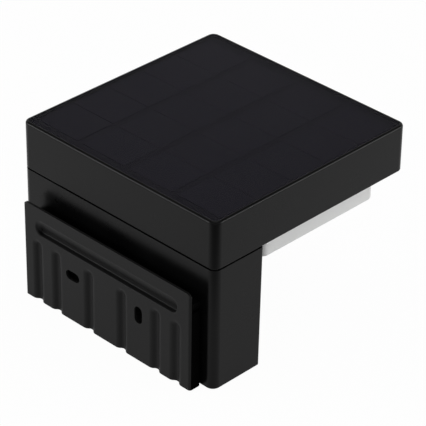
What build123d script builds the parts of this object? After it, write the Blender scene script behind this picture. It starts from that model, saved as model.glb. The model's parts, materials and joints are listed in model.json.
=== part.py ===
from build123d import *
from math import radians, sqrt, tan
import os

# Solar wall light: a square head with a solar panel on top, a leg under the head's rear,
# a frosted light block in front of the leg, and a pressed steel bracket that the leg hangs on.
# Millimetres. The origin lies on the wall, midway between the bracket's two screw slots.
# +Z is up, +Y points into the wall, and the head reaches out along -Y.

# Wall bracket, pressed from sheet
BRACKET_WIDTH = 88.2
BRACKET_HEIGHT = 41.35
BRACKET_STANDOFF = 5.8
BRACKET_CORNER_RADIUS = 2.2
SHEET = 1.0
BEND_RADIUS = 1.1
LIP_WIDTH = 3.6
LIP_DROP = 8.7
SLOT_DROP = 21.4
SLOT_SPACING = 35.0
SLOT_WIDTH = 4.0
SLOT_LENGTH = 7.2
BEAD_END_GAP = 6.6
BEAD_HEIGHT = 6.6
BEAD_DEPTH = 2.0
BEAD_DROP = 8.3
BEAD_FLOOR = 1.4
BEAD_LEDGE = 0.17
BEAD_END_RUN = 1.6
BEAD_RIM_RADIUS = 0.6
BEAD_FLOOR_RADIUS = 0.5
GROOVE_WIDTH = 3.4
GROOVE_DEPTH = 1.3
GROOVE_DROP = 15.2
GROOVE_SLOT_OFFSET = 8.8
GROOVE_EDGE_INSET = 7.5
GROOVE_RIM_RADIUS = 2.6
FACE_TOLERANCE = 1e-4

# Hanger rails on the leg's back, which slide down behind the bracket's lips
RAIL_GAP = 0.3
RAIL_SIDE_GAP = 0.6
RAIL_NECK = 1.4
RAIL_STOP_HEIGHT = 2.6
RAIL_BOTTOM_GAP = 2.0

# Head
HEAD_WIDTH = 100.0
HEAD_DEPTH = 100.0
HEAD_HEIGHT = 19.5
HEAD_WALL = 2.2
HEAD_FLOOR = 2.0
CORNER_RADIUS = 3.2
TOP_EDGE_RADIUS = 1.0
BOTTOM_EDGE_RADIUS = 0.4
RIM_WIDTH = 1.2

# Solar panel, a stack of cover, cells and backboard on a foam frame
PANEL_GAP = 0.3
PANEL_RECESS = 0.1
COVER_THICKNESS = 0.8
CELL_THICKNESS = 0.3
BACKBOARD_THICKNESS = 1.2
PANEL_SEAL_THICKNESS = 0.6
CELL_COLUMNS = 4
CELL_ROWS = 5
CELL_COLUMN_GAP = 2.2
CELL_ROW_GAP = 0.5
CELL_END_MARGIN = 3.8

# Light block under the head
DIFFUSER_MARGIN = 7.5
DIFFUSER_DROP = 12.9
DIFFUSER_WALL = 2.0
DIFFUSER_RADIUS = 3.0
DIFFUSER_EDGE_RADIUS = 1.0
DIFFUSER_FLANGE = 2.0
DIFFUSER_FLANGE_THICKNESS = 1.6
DIFFUSER_SEAL_THICKNESS = 0.6
DIFFUSER_GAP = 0.2
LED_BOARD_THICKNESS = 1.2
LED_BOARD_GAP = 0.8
LED_BOARD_RADIUS = 2.0
LED_BOSS_DIAMETER = 4.0
LED_COLUMNS = 6
LED_ROWS = 4
LED_LENGTH = 3.5
LED_WIDTH = 2.8
LED_HEIGHT = 0.7

# Leg, as deep as the battery it holds
LEG_HEIGHT = 51.35
LEG_WALL = 2.2
LEG_DRAFT = 0.8
LEG_FRONT_RADIUS = 1.0
LEG_EDGE_RADIUS = 0.5
SEAM_HEIGHT = 0.5
SEAM_DEPTH = 1.0
COLUMN_INSET = 4.7
COLUMN_DIAMETER = 5.6

# Bottom cover of the leg
BASE_RECESS = 1.6
BASE_THICKNESS = 2.4
BASE_SEAL_THICKNESS = 0.6
BASE_GAP = 0.2
SKIRT_WALL = 1.2

# Battery and its holder
BATTERY_DIAMETER = 18.4
BATTERY_LENGTH = 65.2
BATTERY_NUB_DIAMETER = 6.0
BATTERY_NUB_HEIGHT = 1.0
BATTERY_EDGE_RADIUS = 0.8
BATTERY_CLEARANCE = 0.6
HOLDER_FLOOR = 1.4
HOLDER_END = 1.4
HOLDER_GAP = 0.2
HOLDER_RIM_DROP = 3.5
CONTACT_THICKNESS = 0.4
CONTACT_WIDTH = 10.0

# Controller board
BOARD_THICKNESS = 1.2
BOARD_GAP = 0.5
POST_DIAMETER = 4.4
POST_INSET = 2.8
CHIP_LENGTH = 7.0
CHIP_WIDTH = 5.0
CHIP_HEIGHT = 1.6
COIL_DIAMETER = 7.0
COIL_HEIGHT = 4.2
CAPACITOR_DIAMETER = 5.0
CAPACITOR_HEIGHT = 5.5
COMPONENT_PITCH = 11.0
CONNECTOR_WIDTH = 5.0
CONNECTOR_HEIGHT = 6.0
CONNECTOR_GAP = 1.6
CONNECTOR_MARGIN = 1.0

# Push switch and its button in the bottom cover
SWITCH_SIZE = 8.0
SWITCH_HEIGHT = 6.0
SWITCH_BORE_DEPTH = 4.6
COLLAR_WALL = 1.2
BUTTON_DIAMETER = 6.4
BUTTON_PROUD = 1.2
BUTTON_TRAVEL = 1.0
BUTTON_OVERTRAVEL = 0.4
BUTTON_GAP = 0.3
BUTTON_FLANGE = 1.0
BUTTON_EDGE_RADIUS = 0.5
PLUNGER_DIAMETER = 3.0
PLUNGER_REACH = 3.0

# Leads from the head down into the leg, two from the panel and two from the LED board
LEAD_DIAMETER = 1.2
LEAD_PITCH = 1.6
LEAD_RISE = 4.0
LEAD_BEND = 2.0
LEAD_PAD_SETBACK = 4.0
GROMMET_CLEARANCE = 0.3
GROMMET_WALL = 1.0
GROMMET_FLANGE = 1.0

# Screws
SCREW_DIAMETER = 2.4
SCREW_HEAD_DIAMETER = 4.2
SCREW_HEAD_HEIGHT = 1.3
SCREW_REACH = 8.0
SMALL_SCREW_DIAMETER = 1.8
SMALL_SCREW_HEAD_DIAMETER = 3.4
SMALL_SCREW_HEAD_HEIGHT = 1.1
SMALL_SCREW_REACH = 2.0
SCREW_GAP = 0.1
SCREW_HOLE_GAP = 0.3
SCREW_HEAD_RADIUS = 0.4

# Heights
bracket_top = SLOT_DROP
bracket_bottom = bracket_top - BRACKET_HEIGHT
lip_top = bracket_top - LIP_DROP
leg_bottom = bracket_bottom
leg_top = leg_bottom + LEG_HEIGHT
head_bottom = leg_top
head_top = head_bottom + HEAD_HEIGHT
floor_top = head_bottom + HEAD_FLOOR
cover_bottom = head_top - PANEL_RECESS - COVER_THICKNESS
cell_bottom = cover_bottom - CELL_THICKNESS
backboard_bottom = cell_bottom - BACKBOARD_THICKNESS
panel_ledge = backboard_bottom - PANEL_SEAL_THICKNESS
flange_bottom = floor_top + DIFFUSER_SEAL_THICKNESS
flange_top = flange_bottom + DIFFUSER_FLANGE_THICKNESS
led_board_top = flange_top + LED_BOARD_THICKNESS
base_bottom = leg_bottom + BASE_RECESS
base_top = base_bottom + BASE_THICKNESS
base_ledge = base_top + BASE_SEAL_THICKNESS
collar_top = base_top + BUTTON_FLANGE + BUTTON_TRAVEL + BUTTON_OVERTRAVEL
board_bottom = collar_top + SWITCH_HEIGHT
board_top = board_bottom + BOARD_THICKNESS
battery_axis = board_top + HOLDER_FLOOR + HOLDER_GAP + BATTERY_DIAMETER / 2
connector_top = board_top + CONNECTOR_HEIGHT

# Depths, counted from the wall
leg_back = -BRACKET_STANDOFF
leg_depth = BATTERY_DIAMETER + 2 * (BATTERY_CLEARANCE + LEG_WALL)
leg_front = leg_back - leg_depth
leg_front_top = leg_front - LEG_HEIGHT * tan(radians(LEG_DRAFT))
leg_middle = (leg_back + leg_front) / 2
head_middle = leg_back - HEAD_DEPTH / 2
head_front = leg_back - HEAD_DEPTH
diffuser_back = leg_front_top - DIFFUSER_MARGIN
diffuser_front = head_front + DIFFUSER_MARGIN
diffuser_middle = (diffuser_back + diffuser_front) / 2
rail_back = -(SHEET + GROOVE_DEPTH + RAIL_GAP)
rail_front = -(BRACKET_STANDOFF - RAIL_GAP - SHEET - RAIL_GAP)

# Widths that several pieces share
diffuser_width = HEAD_WIDTH - 2 * DIFFUSER_MARGIN
diffuser_depth = diffuser_back - diffuser_front
panel_width = HEAD_WIDTH - 2 * (RIM_WIDTH + PANEL_GAP)
panel_depth = HEAD_DEPTH - 2 * (RIM_WIDTH + PANEL_GAP)
panel_radius = CORNER_RADIUS - RIM_WIDTH - PANEL_GAP
lip_edge = BRACKET_WIDTH / 2 - SHEET - LIP_WIDTH
column_x = HEAD_WIDTH / 2 - COLUMN_INSET
inner_radius = CORNER_RADIUS - LEG_WALL
board_length = 2 * (column_x - COLUMN_DIAMETER / 2 - BOARD_GAP)
board_depth = leg_depth - 2 * (LEG_WALL + BOARD_GAP)
holder_length = BATTERY_LENGTH + 2 * (CONTACT_THICKNESS + HOLDER_END)
post_x = board_length / 2 - POST_INSET
post_y = board_depth / 2 - POST_INSET
connector_x = holder_length / 2 + CONNECTOR_GAP + CONNECTOR_WIDTH / 2
lead_columns = (connector_x - LEAD_PITCH / 2, connector_x + LEAD_PITCH / 2)
grommet_bore = LEAD_PITCH * sqrt(2) + LEAD_DIAMETER + 2 * GROMMET_CLEARANCE
grommet_diameter = grommet_bore + 2 * GROMMET_WALL
led_boss_offset = (DIFFUSER_MARGIN - HEAD_WALL) / 2

# Places that come in fours
column_places = [
    (sign * column_x, y)
    for sign in (-1, 1)
    for y in (leg_back - COLUMN_INSET, leg_front + COLUMN_INSET)
]
led_boss_places = [
    (sign * (diffuser_width / 2 + led_boss_offset), y)
    for sign in (-1, 1)
    for y in (diffuser_back + led_boss_offset, diffuser_front - led_boss_offset)
]
post_places = [
    (x_sign * post_x, leg_middle + y_sign * post_y)
    for x_sign in (-1, 1)
    for y_sign in (-1, 1)
]


def prism(width, depth, radius, bottom, top, y):
    """Upright block with rounded corners, centred on x = 0 and y, between two heights."""
    outline = RectangleRounded(width, depth, radius)
    return Pos(0, y, bottom) * extrude(outline, top - bottom)


def rod(diameter, bottom, top, x, y):
    """Upright round bar between two heights."""
    lift = (Align.CENTER, Align.CENTER, Align.MIN)
    return Pos(x, y, bottom) * Cylinder(diameter / 2, top - bottom, align=lift)


def block(x_range, y_range, z_range):
    """Box between two values on each axis."""
    sizes = [abs(high - low) for low, high in (x_range, y_range, z_range)]
    centre = [(low + high) / 2 for low, high in (x_range, y_range, z_range)]
    return Pos(*centre) * Box(*sizes)


def mirrored(shape):
    """The shape and its mirror image on the other side of the light."""
    return shape + mirror(shape, Plane.YZ)


def screw(diameter, head_diameter, head_height, reach, seat, x, y, turned=False):
    """Pan-head screw whose head sits at height seat; turned screws point upwards."""
    head = rod(head_diameter, 0, head_height, 0, 0)
    head = fillet(head.edges().group_by(Axis.Z)[-1], SCREW_HEAD_RADIUS)
    body = head + rod(diameter, -reach, 0, 0, 0)
    flip = Rot(180, 0, 0) if turned else Rot(0, 0, 0)
    return Pos(x, y, seat) * flip * body


def screws(places, seat, reach, turned=False):
    """A set of the larger screws."""
    return Compound(
        children=[
            screw(SCREW_DIAMETER, SCREW_HEAD_DIAMETER, SCREW_HEAD_HEIGHT, reach, seat, x, y, turned)
            for x, y in places
        ]
    )


def small_screws(places, seat, reach):
    """A set of the smaller screws, heads up."""
    return Compound(
        children=[
            screw(SMALL_SCREW_DIAMETER, SMALL_SCREW_HEAD_DIAMETER, SMALL_SCREW_HEAD_HEIGHT, reach, seat, x, y)
            for x, y in places
        ]
    )


def pressed_radius(width, depth):
    """Radius of the arc that is width across and depth deep."""
    return (width**2 / 4 + depth**2) / (2 * depth)


def capsule(start, end, radius):
    """Round bar from start to end with a ball on each end."""
    direction = Vector(*end) - Vector(*start)
    bar = Plane(origin=start, z_dir=direction) * extrude(Circle(radius), direction.length)
    return bar + Pos(*start) * Sphere(radius) + Pos(*end) * Sphere(radius)


def bead_wedge(back, growth):
    """The bead's wedge behind the plane y = -back, grown sideways: a long upper ramp and a steep ledge."""
    length = BRACKET_WIDTH - 2 * BEAD_END_GAP
    bead_z = bracket_top - BEAD_DROP
    floor_z = bead_z - BEAD_HEIGHT / 2 + BEAD_LEDGE + BEAD_FLOOR / 2
    mouth = SlotOverall(length + 2 * growth, BEAD_HEIGHT + 2 * growth)
    floor = SlotOverall(length + 2 * (growth - BEAD_END_RUN), BEAD_FLOOR + 2 * growth)
    mouth_place = Plane.XZ.offset(back) * Pos(0, bead_z)
    floor_place = Plane.XZ.offset(back + BEAD_DEPTH) * Pos(0, floor_z)
    return loft([mouth_place * mouth, floor_place * floor], ruled=True)


def edges_between(solid, depth, bottom, top):
    """Edges that lie flat at one depth of the bracket's plate, within its bends and between two heights."""
    level = solid.edges().filter_by_position(Axis.Y, -depth - FACE_TOLERANCE, -depth + FACE_TOLERANCE)
    reach = BRACKET_WIDTH / 2 - BEND_RADIUS - SHEET
    return [edge for edge in level if abs(edge.center().X) < reach and bottom < edge.center().Z < top]


def make_wall_bracket():
    """Folded channel with lips, pressed bead and grooves, and a level and an upright slot."""
    depth = BRACKET_STANDOFF - RAIL_GAP
    outer = RectangleRounded(BRACKET_WIDTH, depth, BEND_RADIUS)
    inner = RectangleRounded(BRACKET_WIDTH - 2 * SHEET, depth - 2 * SHEET, BEND_RADIUS - SHEET)
    mouth = Pos(0, -depth / 2) * Rectangle(2 * lip_edge, depth)
    channel = Pos(0, -depth / 2, bracket_bottom) * extrude(outer - inner - mouth, BRACKET_HEIGHT)
    sides = (-BRACKET_WIDTH / 2, BRACKET_WIDTH / 2)
    channel -= block(sides, (-depth, -SHEET), (lip_top, bracket_top))

    inside = block(sides, (-depth, -SHEET / 2), (bracket_bottom, bracket_top))
    radius = pressed_radius(GROOVE_WIDTH, GROOVE_DEPTH)
    groove_y = radius - GROOVE_DEPTH
    groove_top = bracket_top - GROOVE_DROP
    offsets = (
        SLOT_SPACING / 2 - GROOVE_SLOT_OFFSET,
        SLOT_SPACING / 2 + GROOVE_SLOT_OFFSET,
        BRACKET_WIDTH / 2 - GROOVE_EDGE_INSET,
    )
    runs = [
        ((x, groove_y, bracket_bottom - GROOVE_WIDTH), (x, groove_y, groove_top - GROOVE_WIDTH / 2))
        for offset in offsets
        for x in (-offset, offset)
    ]
    for start, end in runs:
        channel += capsule(start, end, radius + SHEET) & inside
    for start, end in runs:
        channel -= capsule(start, end, radius)
    groove_low = bracket_bottom + SHEET
    groove_high = groove_top + SHEET
    channel = fillet(edges_between(channel, SHEET, groove_low, groove_high), GROOVE_RIM_RADIUS - SHEET)
    channel = fillet(edges_between(channel, 0, groove_low, groove_high), GROOVE_RIM_RADIUS)

    channel += bead_wedge(SHEET, SHEET)
    channel -= bead_wedge(0, 0)
    bead_low = bracket_top - BEAD_DROP - BEAD_HEIGHT / 2 - SHEET / 2
    bead_high = bracket_top - SHEET
    channel = fillet(edges_between(channel, BEAD_DEPTH, bead_low, bead_high), BEAD_FLOOR_RADIUS)
    channel = fillet(edges_between(channel, 0, bead_low, bead_high), BEAD_RIM_RADIUS)

    outline_height = BRACKET_HEIGHT + 2 * BRACKET_CORNER_RADIUS
    outline = RectangleRounded(BRACKET_WIDTH, outline_height, BRACKET_CORNER_RADIUS)
    outline_place = Pos(0, 0, bracket_top - outline_height / 2)
    channel &= outline_place * extrude(Plane.XZ * outline, depth, both=True)

    slot = Plane.XZ * SlotOverall(SLOT_LENGTH, SLOT_WIDTH)
    level_slot = extrude(Pos(SLOT_SPACING / 2, 0, 0) * slot, 2 * SHEET, both=True)
    upright_slot = extrude(Pos(-SLOT_SPACING / 2, 0, 0) * Rot(0, 90, 0) * slot, 2 * SHEET, both=True)
    return channel - level_slot - upright_slot


def leg_block(inset, bottom, top, back_radius, front_radius):
    """The leg's shape between two heights, drawn in by inset; its front leans by the draft."""
    slope = tan(radians(LEG_DRAFT))
    back = leg_back - inset
    front_low = leg_front + inset - (bottom - leg_bottom) * slope
    front_high = leg_front + inset - (top - leg_bottom) * slope
    side = Polyline((back, bottom), (back, top), (front_high, top), (front_low, bottom), close=True)
    solid = extrude(Plane.YZ * make_face(side), HEAD_WIDTH / 2 - inset, both=True)
    uprights = [edge for edge in solid.edges() if edge.bounding_box().size.Z > (top - bottom) / 2]
    back_edges = [edge for edge in uprights if edge.center().Y > leg_middle]
    solid = fillet(back_edges, back_radius)
    uprights = [edge for edge in solid.edges() if edge.bounding_box().size.Z > (top - bottom) / 2]
    front_edges = sorted(uprights, key=lambda edge: edge.center().Y)[:2]
    return fillet(front_edges, front_radius)


def make_rail():
    """One hanger rail at +X: neck, foot behind the lip, and the stop that sits on the lip's end."""
    neck_outer = lip_edge - RAIL_GAP
    neck = (neck_outer - RAIL_NECK, neck_outer)
    foot = (neck_outer - RAIL_NECK, BRACKET_WIDTH / 2 - SHEET - RAIL_SIDE_GAP)
    bottom = leg_bottom + RAIL_BOTTOM_GAP
    stop_top = lip_top + RAIL_GAP + RAIL_STOP_HEIGHT
    rail = block(neck, (leg_back, rail_back), (bottom, stop_top))
    rail += block(foot, (rail_front, rail_back), (bottom, stop_top))
    stop = (foot[0], BRACKET_WIDTH / 2 - BEND_RADIUS - RAIL_GAP)
    return rail + block(stop, (leg_back, rail_back), (lip_top + RAIL_GAP, stop_top))


def make_leg_housing():
    """Open-ended leg shell with a shadow seam on top, screw columns and hanger rails."""
    shell = leg_block(0, leg_bottom, leg_top - SEAM_HEIGHT, CORNER_RADIUS, LEG_FRONT_RADIUS)
    shell = fillet(shell.edges().group_by(Axis.Z)[0], LEG_EDGE_RADIUS)
    shell += leg_block(SEAM_DEPTH, leg_top - SEAM_HEIGHT, leg_top, inner_radius, inner_radius)
    shell -= leg_block(LEG_WALL, leg_bottom, leg_top, inner_radius, inner_radius)
    skirt_width = HEAD_WIDTH - 2 * SKIRT_WALL
    skirt_depth = leg_depth - 2 * SKIRT_WALL
    shell -= prism(skirt_width, skirt_depth, CORNER_RADIUS - SKIRT_WALL, leg_bottom, base_ledge, leg_middle)
    pilot = SCREW_DIAMETER + 2 * SCREW_GAP
    for x, y in column_places:
        shell += rod(COLUMN_DIAMETER, base_ledge, leg_top, x, y)
    for x, y in column_places:
        shell -= rod(pilot, base_ledge, base_ledge + SCREW_REACH, x, y)
        shell -= rod(pilot, leg_top - SCREW_REACH, leg_top, x, y)
    return shell + mirrored(make_rail())


def make_head_housing():
    """Square shell, open on top for the panel, with a floor opening for the light block."""
    shell = prism(HEAD_WIDTH, HEAD_DEPTH, CORNER_RADIUS, head_bottom, head_top, head_middle)
    shell = fillet(shell.edges().group_by(Axis.Z)[-1], TOP_EDGE_RADIUS)
    shell = fillet(shell.edges().group_by(Axis.Z)[0], BOTTOM_EDGE_RADIUS)
    recess_width = HEAD_WIDTH - 2 * RIM_WIDTH
    recess_depth = HEAD_DEPTH - 2 * RIM_WIDTH
    shell -= prism(recess_width, recess_depth, CORNER_RADIUS - RIM_WIDTH, panel_ledge, head_top, head_middle)
    cavity_width = HEAD_WIDTH - 2 * HEAD_WALL
    cavity_depth = HEAD_DEPTH - 2 * HEAD_WALL
    cavity_radius = CORNER_RADIUS - HEAD_WALL
    shell -= prism(cavity_width, cavity_depth, cavity_radius, floor_top, panel_ledge, head_middle)
    for x, y in led_boss_places:
        shell += rod(LED_BOSS_DIAMETER, floor_top, flange_top, x, y)
        shell -= rod(SMALL_SCREW_DIAMETER + 2 * SCREW_GAP, floor_top, flange_top, x, y)
    opening_width = diffuser_width + 2 * DIFFUSER_GAP
    opening_depth = diffuser_depth + 2 * DIFFUSER_GAP
    opening_radius = DIFFUSER_RADIUS + DIFFUSER_GAP
    shell -= prism(opening_width, opening_depth, opening_radius, head_bottom, floor_top, diffuser_middle)
    for x, y in column_places:
        shell -= rod(SCREW_DIAMETER + 2 * SCREW_HOLE_GAP, head_bottom, floor_top, x, y)
    grommet_hole = grommet_diameter + 2 * SCREW_GAP
    return shell - rod(grommet_hole, head_bottom, floor_top, connector_x, leg_middle)


def frame(width, depth, radius, inner_width, inner_depth, inner_radius, bottom, top, y):
    """Flat rounded frame, as of foam."""
    outside = prism(width, depth, radius, bottom, top, y)
    return outside - prism(inner_width, inner_depth, inner_radius, bottom, top, y)


def make_panel_seal():
    """Foam frame on the ledge under the panel."""
    return frame(
        panel_width,
        panel_depth,
        panel_radius,
        HEAD_WIDTH - 2 * HEAD_WALL,
        HEAD_DEPTH - 2 * HEAD_WALL,
        CORNER_RADIUS - HEAD_WALL,
        panel_ledge,
        backboard_bottom,
        head_middle,
    )


def make_solar_cells():
    """Rows and columns of thin cells between the backboard and the cover."""
    pitch_x = panel_width / CELL_COLUMNS
    pitch_y = (panel_depth - 2 * CELL_END_MARGIN) / CELL_ROWS
    cell_width = pitch_x - CELL_COLUMN_GAP
    cell_depth = pitch_y - CELL_ROW_GAP
    layer = Pos(0, head_middle, (cell_bottom + cover_bottom) / 2)
    grid = GridLocations(pitch_x, pitch_y, CELL_COLUMNS, CELL_ROWS)
    return Compound(children=[layer * place * Box(cell_width, cell_depth, CELL_THICKNESS) for place in grid])


def make_diffuser():
    """Hollow frosted block with a flange that lies on the head's floor."""
    bottom = head_bottom - DIFFUSER_DROP
    tray = prism(diffuser_width, diffuser_depth, DIFFUSER_RADIUS, bottom, flange_top, diffuser_middle)
    tray = fillet(tray.edges().group_by(Axis.Z)[0], DIFFUSER_EDGE_RADIUS)
    tray += prism(
        diffuser_width + 2 * DIFFUSER_FLANGE,
        diffuser_depth + 2 * DIFFUSER_FLANGE,
        DIFFUSER_RADIUS + DIFFUSER_FLANGE,
        flange_bottom,
        flange_top,
        diffuser_middle,
    )
    return tray - prism(
        diffuser_width - 2 * DIFFUSER_WALL,
        diffuser_depth - 2 * DIFFUSER_WALL,
        DIFFUSER_RADIUS - DIFFUSER_WALL,
        bottom + DIFFUSER_WALL,
        flange_top,
        diffuser_middle,
    )


def make_diffuser_seal():
    """Foam frame between the floor and the light block's flange."""
    return frame(
        diffuser_width + 2 * DIFFUSER_FLANGE,
        diffuser_depth + 2 * DIFFUSER_FLANGE,
        DIFFUSER_RADIUS + DIFFUSER_FLANGE,
        diffuser_width + 2 * DIFFUSER_GAP,
        diffuser_depth + 2 * DIFFUSER_GAP,
        DIFFUSER_RADIUS + DIFFUSER_GAP,
        floor_top,
        flange_bottom,
        diffuser_middle,
    )


def make_led_board():
    """Board that closes the light block and carries the lamps on its underside."""
    edge_gap = DIFFUSER_MARGIN - HEAD_WALL - LED_BOARD_GAP
    width = diffuser_width + 2 * edge_gap
    depth = diffuser_depth + 2 * edge_gap
    board = prism(width, depth, LED_BOARD_RADIUS, flange_top, led_board_top, diffuser_middle)
    for x, y in led_boss_places:
        board -= rod(SMALL_SCREW_DIAMETER + 2 * SCREW_HOLE_GAP, flange_top, led_board_top, x, y)
    return board


def make_leds():
    """Flat surface-mounted lamps, evenly spread over the light block."""
    pitch_x = diffuser_width / LED_COLUMNS
    pitch_y = diffuser_depth / LED_ROWS
    layer = Pos(0, diffuser_middle, flange_top - LED_HEIGHT / 2)
    grid = GridLocations(pitch_x, pitch_y, LED_COLUMNS, LED_ROWS)
    return Compound(children=[layer * place * Box(LED_LENGTH, LED_WIDTH, LED_HEIGHT) for place in grid])


def make_leg_base():
    """Bottom cover with the button's collar, board posts and screw holes."""
    width = HEAD_WIDTH - 2 * (SKIRT_WALL + BASE_GAP)
    depth = leg_depth - 2 * (SKIRT_WALL + BASE_GAP)
    base = prism(width, depth, CORNER_RADIUS - SKIRT_WALL - BASE_GAP, base_bottom, base_top, leg_middle)
    collar_bore = BUTTON_DIAMETER + 2 * (BUTTON_FLANGE + BUTTON_GAP)
    base += rod(collar_bore + 2 * COLLAR_WALL, base_top, collar_top, 0, leg_middle)
    base -= rod(collar_bore, base_top, collar_top, 0, leg_middle)
    base -= rod(BUTTON_DIAMETER + 2 * BUTTON_GAP, base_bottom, base_top, 0, leg_middle)
    for x, y in post_places:
        base += rod(POST_DIAMETER, base_top, board_bottom, x, y)
        base -= rod(SMALL_SCREW_DIAMETER + 2 * SCREW_GAP, base_top, board_bottom, x, y)
    for x, y in column_places:
        base -= rod(SCREW_DIAMETER + 2 * SCREW_HOLE_GAP, base_bottom, base_top, x, y)
    return base


def make_base_seal():
    """Foam frame between the bottom cover and the ledge inside the leg."""
    return frame(
        HEAD_WIDTH - 2 * (SKIRT_WALL + BASE_GAP),
        leg_depth - 2 * (SKIRT_WALL + BASE_GAP),
        CORNER_RADIUS - SKIRT_WALL - BASE_GAP,
        HEAD_WIDTH - 2 * LEG_WALL,
        leg_depth - 2 * LEG_WALL,
        inner_radius,
        base_top,
        base_ledge,
        leg_middle,
    )


def make_controller_board():
    """Board on the bottom cover's posts, with a tongue that carries the connector."""
    board = block(
        (-board_length / 2, board_length / 2),
        (leg_middle - board_depth / 2, leg_middle + board_depth / 2),
        (board_bottom, board_top),
    )
    reach = CONNECTOR_WIDTH / 2 + CONNECTOR_MARGIN
    board += block(
        (0, connector_x + reach),
        (leg_middle - reach, leg_middle + reach),
        (board_bottom, board_top),
    )
    for x, y in post_places:
        board -= rod(SMALL_SCREW_DIAMETER + 2 * SCREW_HOLE_GAP, board_bottom, board_top, x, y)
    return board


def make_board_components():
    """Chip, coil and two capacitors under the controller board."""
    chip_x = -2 * COMPONENT_PITCH
    chip = block(
        (chip_x - CHIP_LENGTH / 2, chip_x + CHIP_LENGTH / 2),
        (leg_middle - CHIP_WIDTH / 2, leg_middle + CHIP_WIDTH / 2),
        (board_bottom - CHIP_HEIGHT, board_bottom),
    )
    coil = rod(COIL_DIAMETER, board_bottom - COIL_HEIGHT, board_bottom, -COMPONENT_PITCH, leg_middle)
    capacitor_bottom = board_bottom - CAPACITOR_HEIGHT
    capacitors = [
        rod(CAPACITOR_DIAMETER, capacitor_bottom, board_bottom, step * COMPONENT_PITCH, leg_middle)
        for step in (1, 2)
    ]
    return Compound(children=[chip, coil, *capacitors])


def make_lead_connector():
    """Plug block for the four leads at the board's end."""
    half = CONNECTOR_WIDTH / 2
    return block(
        (connector_x - half, connector_x + half),
        (leg_middle - half, leg_middle + half),
        (board_top, connector_top),
    )


def make_battery():
    """Round cell lying across the leg, its raised pole towards +X."""
    can_length = BATTERY_LENGTH - BATTERY_NUB_HEIGHT
    can = extrude(Plane.YZ * Circle(BATTERY_DIAMETER / 2), can_length)
    can = fillet(can.edges(), BATTERY_EDGE_RADIUS)
    nub = Pos(can_length, 0, 0) * extrude(Plane.YZ * Circle(BATTERY_NUB_DIAMETER / 2), BATTERY_NUB_HEIGHT)
    return Pos(-BATTERY_LENGTH / 2, leg_middle, battery_axis) * (can + nub)


def make_battery_holder():
    """Trough with end walls, fixed on the controller board and clear of its screws."""
    half_depth = board_depth / 2
    half_length = holder_length / 2
    half_space = half_length - HOLDER_END
    rim = battery_axis - HOLDER_RIM_DROP
    holder = block(
        (-half_length, half_length),
        (leg_middle - half_depth, leg_middle + half_depth),
        (board_top, rim),
    )
    for sign in (-1, 1):
        holder += block(
            (sign * half_space, sign * half_length),
            (leg_middle - CONTACT_WIDTH / 2, leg_middle + CONTACT_WIDTH / 2),
            (board_top, battery_axis + CONTACT_WIDTH / 2),
        )
    trough = extrude(Plane.YZ * Circle(BATTERY_DIAMETER / 2 + HOLDER_GAP), half_space, both=True)
    holder -= Pos(0, leg_middle, battery_axis) * trough
    pocket = SMALL_SCREW_HEAD_DIAMETER + 2 * SCREW_HOLE_GAP
    pocket_top = board_top + SMALL_SCREW_HEAD_HEIGHT + SCREW_HOLE_GAP
    for x, y in post_places:
        holder -= rod(pocket, board_top, pocket_top, x, y)
    return holder


def make_battery_contacts():
    """Spring plates against the cell's two ends."""
    inner = BATTERY_LENGTH / 2
    half = CONTACT_WIDTH / 2
    plates = [
        block(
            (sign * inner, sign * (inner + CONTACT_THICKNESS)),
            (leg_middle - half, leg_middle + half),
            (battery_axis - half, battery_axis + half),
        )
        for sign in (-1, 1)
    ]
    return Compound(children=plates)


def make_switch_body():
    """Push switch under the board, with a bore for its plunger."""
    half = SWITCH_SIZE / 2
    body = block((-half, half), (leg_middle - half, leg_middle + half), (collar_top, board_bottom))
    bore = PLUNGER_DIAMETER + 2 * BUTTON_GAP
    return body - rod(bore, collar_top, collar_top + SWITCH_BORE_DEPTH, 0, leg_middle)


def make_switch_button():
    """Button with a flange inside the bottom cover, so that it can't fall out."""
    cap = rod(BUTTON_DIAMETER, base_bottom - BUTTON_PROUD, base_top, 0, leg_middle)
    cap = fillet(cap.edges().group_by(Axis.Z)[0], BUTTON_EDGE_RADIUS)
    flange_diameter = BUTTON_DIAMETER + 2 * BUTTON_FLANGE
    return cap + rod(flange_diameter, base_top, base_top + BUTTON_FLANGE, 0, leg_middle)


def make_switch_plunger():
    """The switch's own stem, which stands on the button."""
    foot = base_top + BUTTON_FLANGE
    return rod(PLUNGER_DIAMETER, foot, collar_top + PLUNGER_REACH, 0, leg_middle)


def make_wire_grommet():
    """Flanged ring in the head's floor, over the connector."""
    bottom = head_bottom - GROMMET_FLANGE
    top = floor_top + GROMMET_FLANGE
    flange_diameter = grommet_diameter + 2 * GROMMET_FLANGE
    ring = rod(grommet_diameter, bottom, top, connector_x, leg_middle)
    ring += rod(flange_diameter, floor_top, top, connector_x, leg_middle)
    ring += rod(flange_diameter, bottom, head_bottom, connector_x, leg_middle)
    return ring - rod(grommet_bore, bottom, top, connector_x, leg_middle)


def make_panel_leads():
    """Two leads straight down from the backboard to the connector."""
    y = leg_middle + LEAD_PITCH / 2
    leads = [rod(LEAD_DIAMETER, connector_top, backboard_bottom, x, y) for x in lead_columns]
    return Compound(children=leads)


def make_led_leads():
    """Two leads from the LED board, over its edge and down to the connector."""
    y = leg_middle - LEAD_PITCH / 2
    pad = diffuser_back - LEAD_PAD_SETBACK
    crest = led_board_top + LEAD_RISE
    leads = []
    for x in lead_columns:
        route = [(x, pad, led_board_top), (x, pad, crest), (x, y, crest), (x, y, connector_top)]
        path = FilletPolyline(*route, radius=LEAD_BEND)
        section = Plane(origin=path @ 0, z_dir=path % 0) * Circle(LEAD_DIAMETER / 2)
        leads.append(sweep(section, path=path))
    return Compound(children=leads)


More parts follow.
